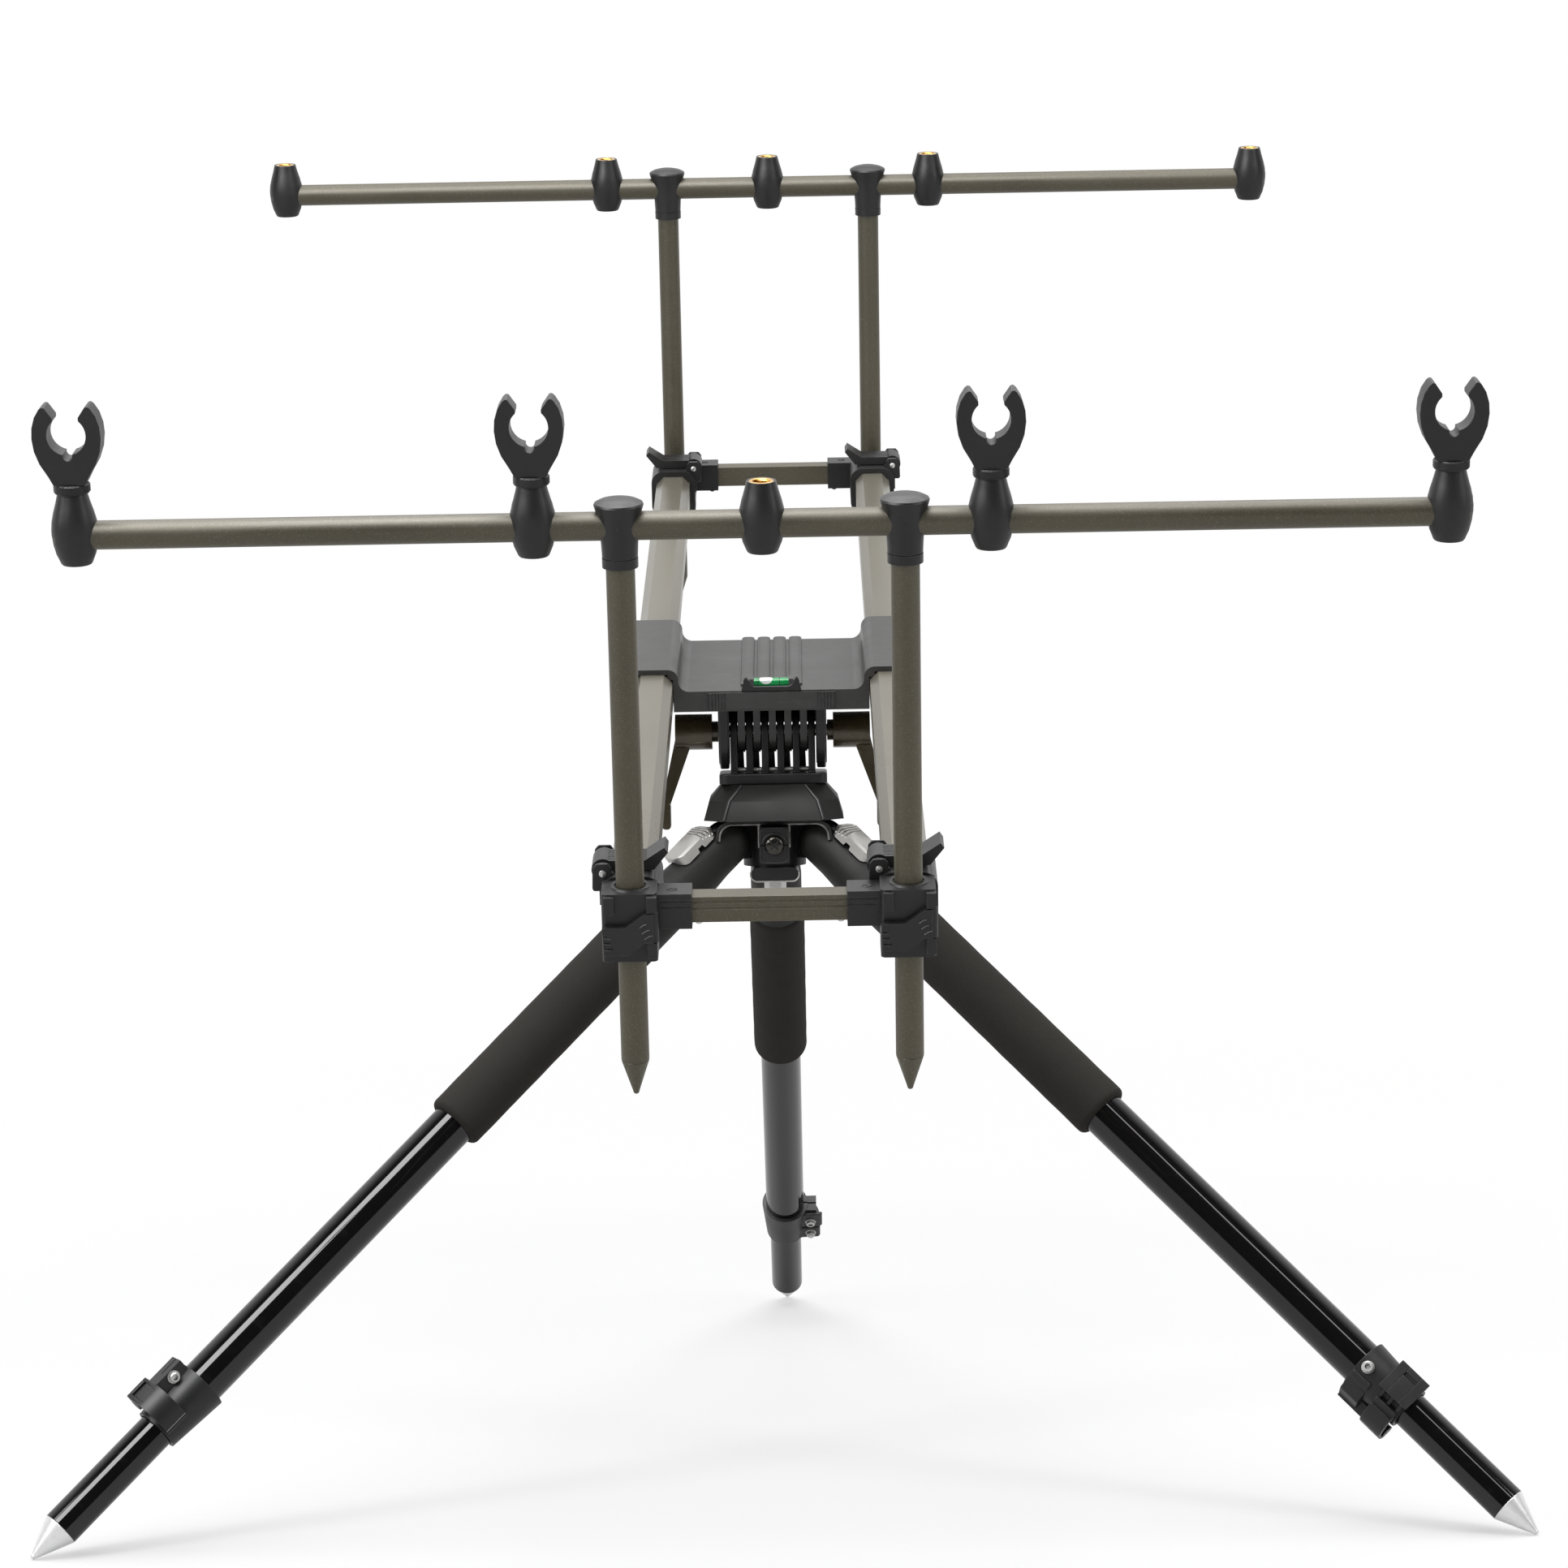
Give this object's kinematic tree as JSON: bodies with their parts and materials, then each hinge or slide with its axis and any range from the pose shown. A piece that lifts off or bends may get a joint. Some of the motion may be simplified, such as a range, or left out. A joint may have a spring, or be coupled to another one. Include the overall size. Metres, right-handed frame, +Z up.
{
  "type": "rod pod",
  "caption": "Tripod rod pod with telescopic spiked legs, a tilting head, parallel rails, adjustable uprights and wide buzz bars with forked rod rests.",
  "frame": {"origin": "on the ground under the middle of the bounding box, on the left-right symmetry plane", "axes": "+Z up, +X to the right seen from the rod rests, +Y back along the rods, from the front bar with the rod rests towards the butt bar"},
  "size_m": [0.9288, 1.1126, 0.909],
  "materials": {
    "olive_paint": "satin",
    "black_moulding": "satin",
    "black_tube": "gloss",
    "foam": "matte",
    "bright_aluminium": "turned",
    "satin_silver": "satin",
    "bronze_paint": "gloss",
    "brass": "turned",
    "zinc": "plated",
    "vial_green": "clear"
  },
  "bodies": {
    "tripod_head": {"hub": "black_moulding", "head_cover": "black_moulding", "lower_comb": "black_moulding", "head_fasteners": "zinc"},
    "left_cam": {"left_cam_lever": "bronze_paint"},
    "right_cam": {"right_cam_lever": "bronze_paint"},
    "frame": {"saddle": "black_moulding", "level_vial": "vial_green", "rails": "olive_paint"},
    "left_leg": {"left_shoulder": "black_moulding", "left_upper_tube": "black_tube", "left_foam_grip": "foam", "left_lock_collar": "black_moulding"},
    "left_lower_leg": {"left_lower_tube": "black_tube", "left_spike": "bright_aluminium"},
    "left_lock": {"left_lock_lever": "black_moulding"},
    "left_tab": {"left_release_tab": "satin_silver"},
    "right_leg": {"right_shoulder": "black_moulding", "right_upper_tube": "black_tube", "right_foam_grip": "foam", "right_lock_collar": "black_moulding"},
    "right_lower_leg": {"right_lower_tube": "black_tube", "right_spike": "bright_aluminium"},
    "right_lock": {"right_lock_lever": "black_moulding"},
    "right_tab": {"right_release_tab": "satin_silver"},
    "rear_leg": {"rear_shoulder": "black_moulding", "rear_upper_tube": "black_tube", "rear_foam_grip": "foam", "rear_lock_collar": "black_moulding"},
    "rear_lower_leg": {"rear_lower_tube": "black_tube", "rear_spike": "bright_aluminium"},
    "rear_lock": {"rear_lock_lever": "black_moulding"},
    "rear_tab": {"rear_release_tab": "satin_silver"},
    "front_carriage": {"front_corner_blocks": "black_moulding", "front_crossbar": "olive_paint"},
    "front_bar_set": {"front_uprights": "olive_paint", "front_spikes": "olive_paint", "front_bar": "olive_paint", "front_sockets": "black_moulding", "front_inserts": "brass"},
    "front_left_rail_clamp": {"front_left_rail_lever": "black_moulding"},
    "front_left_upright_clamp": {"front_left_upright_lever": "black_moulding"},
    "front_right_rail_clamp": {"front_right_rail_lever": "black_moulding"},
    "front_right_upright_clamp": {"front_right_upright_lever": "black_moulding"},
    "back_carriage": {"back_corner_blocks": "black_moulding", "back_crossbar": "olive_paint"},
    "back_bar_set": {"back_uprights": "olive_paint", "back_spikes": "olive_paint", "back_bar": "olive_paint", "back_sockets": "black_moulding", "back_inserts": "brass"},
    "back_left_rail_clamp": {"back_left_rail_lever": "black_moulding"},
    "back_left_upright_clamp": {"back_left_upright_lever": "black_moulding"},
    "back_right_rail_clamp": {"back_right_rail_lever": "black_moulding"},
    "back_right_upright_clamp": {"back_right_upright_lever": "black_moulding"},
    "buttons": {"snap_buttons": "zinc"},
    "rest_1": {"rod_rest_1": "black_moulding"},
    "rest_2": {"rod_rest_2": "black_moulding"},
    "rest_3": {"rod_rest_3": "black_moulding"},
    "rest_4": {"rod_rest_4": "black_moulding"}
  },
  "joints": [
    {"name": "left_cam_turn", "type": "hinge", "parent": "tripod_head", "child": "left_cam", "pos_m": [0, -0.01244, 0.48801], "axis": [1, 0, 0], "range_deg": [-60, 60]},
    {"name": "right_cam_turn", "type": "hinge", "parent": "tripod_head", "child": "right_cam", "pos_m": [0, -0.01244, 0.48801], "axis": [1, 0, 0], "range_deg": [-60, 60]},
    {"name": "frame_tilt", "type": "hinge", "parent": "tripod_head", "child": "frame", "pos_m": [0, -0.01244, 0.48801], "axis": [1, 0, 0], "range_deg": [-25, 10]},
    {"name": "left_leg_fold", "type": "hinge", "parent": "tripod_head", "child": "left_leg", "pos_m": [-0.03198, -0.0309, 0.41464], "axis": [0.5, -0.866, 0], "range_deg": [0, 42]},
    {"name": "left_leg_slide", "type": "slide", "parent": "left_leg", "child": "left_lower_leg", "axis": [-0.6663, -0.3847, -0.6388], "range_m": [-0.075, 0.15]},
    {"name": "left_lock_flip", "type": "hinge", "parent": "left_leg", "child": "left_lock", "pos_m": [-0.39708, -0.24169, 0.09272], "axis": [-0.6663, -0.3847, -0.6388], "range_deg": [0, 110]},
    {"name": "left_tab_pull", "type": "slide", "parent": "left_leg", "child": "left_tab", "axis": [-0.6663, -0.3847, -0.6388], "range_m": [0, 0.006], "stiffness_N_per_m": 900, "springref_m": -0.002},
    {"name": "right_leg_fold", "type": "hinge", "parent": "tripod_head", "child": "right_leg", "pos_m": [0.03198, -0.0309, 0.41464], "axis": [0.5, 0.866, 0], "range_deg": [0, 42]},
    {"name": "right_leg_slide", "type": "slide", "parent": "right_leg", "child": "right_lower_leg", "axis": [0.6663, -0.3847, -0.6388], "range_m": [-0.075, 0.15]},
    {"name": "right_lock_flip", "type": "hinge", "parent": "right_leg", "child": "right_lock", "pos_m": [0.37318, -0.22789, 0.05948], "axis": [0.6663, -0.3847, -0.6388], "range_deg": [0, 110]},
    {"name": "right_tab_pull", "type": "slide", "parent": "right_leg", "child": "right_tab", "axis": [0.6663, -0.3847, -0.6388], "range_m": [0, 0.006], "stiffness_N_per_m": 900, "springref_m": -0.002},
    {"name": "rear_leg_fold", "type": "hinge", "parent": "tripod_head", "child": "rear_leg", "pos_m": [0, 0.02449, 0.41464], "axis": [-1, 0, 0], "range_deg": [0, 42]},
    {"name": "rear_leg_slide", "type": "slide", "parent": "rear_leg", "child": "rear_lower_leg", "axis": [0, 0.7694, -0.6388], "range_m": [-0.075, 0.15]},
    {"name": "rear_lock_flip", "type": "hinge", "parent": "rear_leg", "child": "rear_lock", "pos_m": [0.0216, 0.43228, 0.0761], "axis": [0, 0.7694, -0.6388], "range_deg": [0, 110]},
    {"name": "rear_tab_pull", "type": "slide", "parent": "rear_leg", "child": "rear_tab", "axis": [0, 0.7694, -0.6388], "range_m": [0, 0.006], "stiffness_N_per_m": 900, "springref_m": -0.002},
    {"name": "front_carriage_slide", "type": "slide", "parent": "frame", "child": "front_carriage", "axis": [0, -0.972, -0.2351], "range_m": [0, 0.022]},
    {"name": "back_carriage_slide", "type": "slide", "parent": "frame", "child": "back_carriage", "axis": [0, 0.972, 0.2351], "range_m": [0, 0.022]},
    {"name": "front_bar_lift", "type": "slide", "parent": "front_carriage", "child": "front_bar_set", "axis": [0, -0.2351, 0.972], "range_m": [-0.15, 0.06]},
    {"name": "back_bar_lift", "type": "slide", "parent": "back_carriage", "child": "back_bar_set", "axis": [0, -0.2351, 0.972], "range_m": [-0.15, 0.05]},
    {"name": "snap_button_press", "type": "slide", "parent": "front_carriage", "child": "buttons", "axis": [0, -0.2351, 0.972], "range_m": [0, 0.002], "stiffness_N_per_m": 800, "springref_m": -0.001},
    {"name": "front_left_rail_clamp_flip", "type": "hinge", "parent": "front_carriage", "child": "front_left_rail_clamp", "pos_m": [-0.094, -0.45399, 0.43983], "axis": [0, -0.972, -0.2351], "range_deg": [0, 100]},
    {"name": "front_left_upright_clamp_flip", "type": "hinge", "parent": "front_carriage", "child": "front_left_upright_clamp", "pos_m": [-0.065, -0.49304, 0.40774], "axis": [0, -0.2351, 0.972], "range_deg": [0, 110]},
    {"name": "front_right_rail_clamp_flip", "type": "hinge", "parent": "front_carriage", "child": "front_right_rail_clamp", "pos_m": [0.062, -0.45399, 0.43983], "axis": [0, -0.972, -0.2351], "range_deg": [0, 100]},
    {"name": "front_right_upright_clamp_flip", "type": "hinge", "parent": "front_carriage", "child": "front_right_upright_clamp", "pos_m": [0.091, -0.49304, 0.40774], "axis": [0, -0.2351, 0.972], "range_deg": [0, 110]},
    {"name": "back_left_rail_clamp_flip", "type": "hinge", "parent": "back_carriage", "child": "back_left_rail_clamp", "pos_m": [-0.062, 0.49562, 0.66956], "axis": [0, 0.972, 0.2351], "range_deg": [0, 100]},
    {"name": "back_left_upright_clamp_flip", "type": "hinge", "parent": "back_carriage", "child": "back_left_upright_clamp", "pos_m": [-0.091, 0.54501, 0.65888], "axis": [0, -0.2351, 0.972], "range_deg": [0, 110]},
    {"name": "back_right_rail_clamp_flip", "type": "hinge", "parent": "back_carriage", "child": "back_right_rail_clamp", "pos_m": [0.094, 0.49562, 0.66956], "axis": [0, 0.972, 0.2351], "range_deg": [0, 100]},
    {"name": "back_right_upright_clamp_flip", "type": "hinge", "parent": "back_carriage", "child": "back_right_upright_clamp", "pos_m": [0.065, 0.54501, 0.65888], "axis": [0, -0.2351, 0.972], "range_deg": [0, 110]},
    {"name": "rest_1_turn", "type": "hinge", "parent": "front_bar_set", "child": "rest_1", "pos_m": [-0.375, -0.53748, 0.65523], "axis": [0, -0.2351, 0.972], "range_deg": [-180, 180]},
    {"name": "rest_2_turn", "type": "hinge", "parent": "front_bar_set", "child": "rest_2", "pos_m": [-0.125, -0.53748, 0.65523], "axis": [0, -0.2351, 0.972], "range_deg": [-180, 180]},
    {"name": "rest_3_turn", "type": "hinge", "parent": "front_bar_set", "child": "rest_3", "pos_m": [0.125, -0.53748, 0.65523], "axis": [0, -0.2351, 0.972], "range_deg": [-180, 180]},
    {"name": "rest_4_turn", "type": "hinge", "parent": "front_bar_set", "child": "rest_4", "pos_m": [0.375, -0.53748, 0.65523], "axis": [0, -0.2351, 0.972], "range_deg": [-180, 180]}
  ]
}
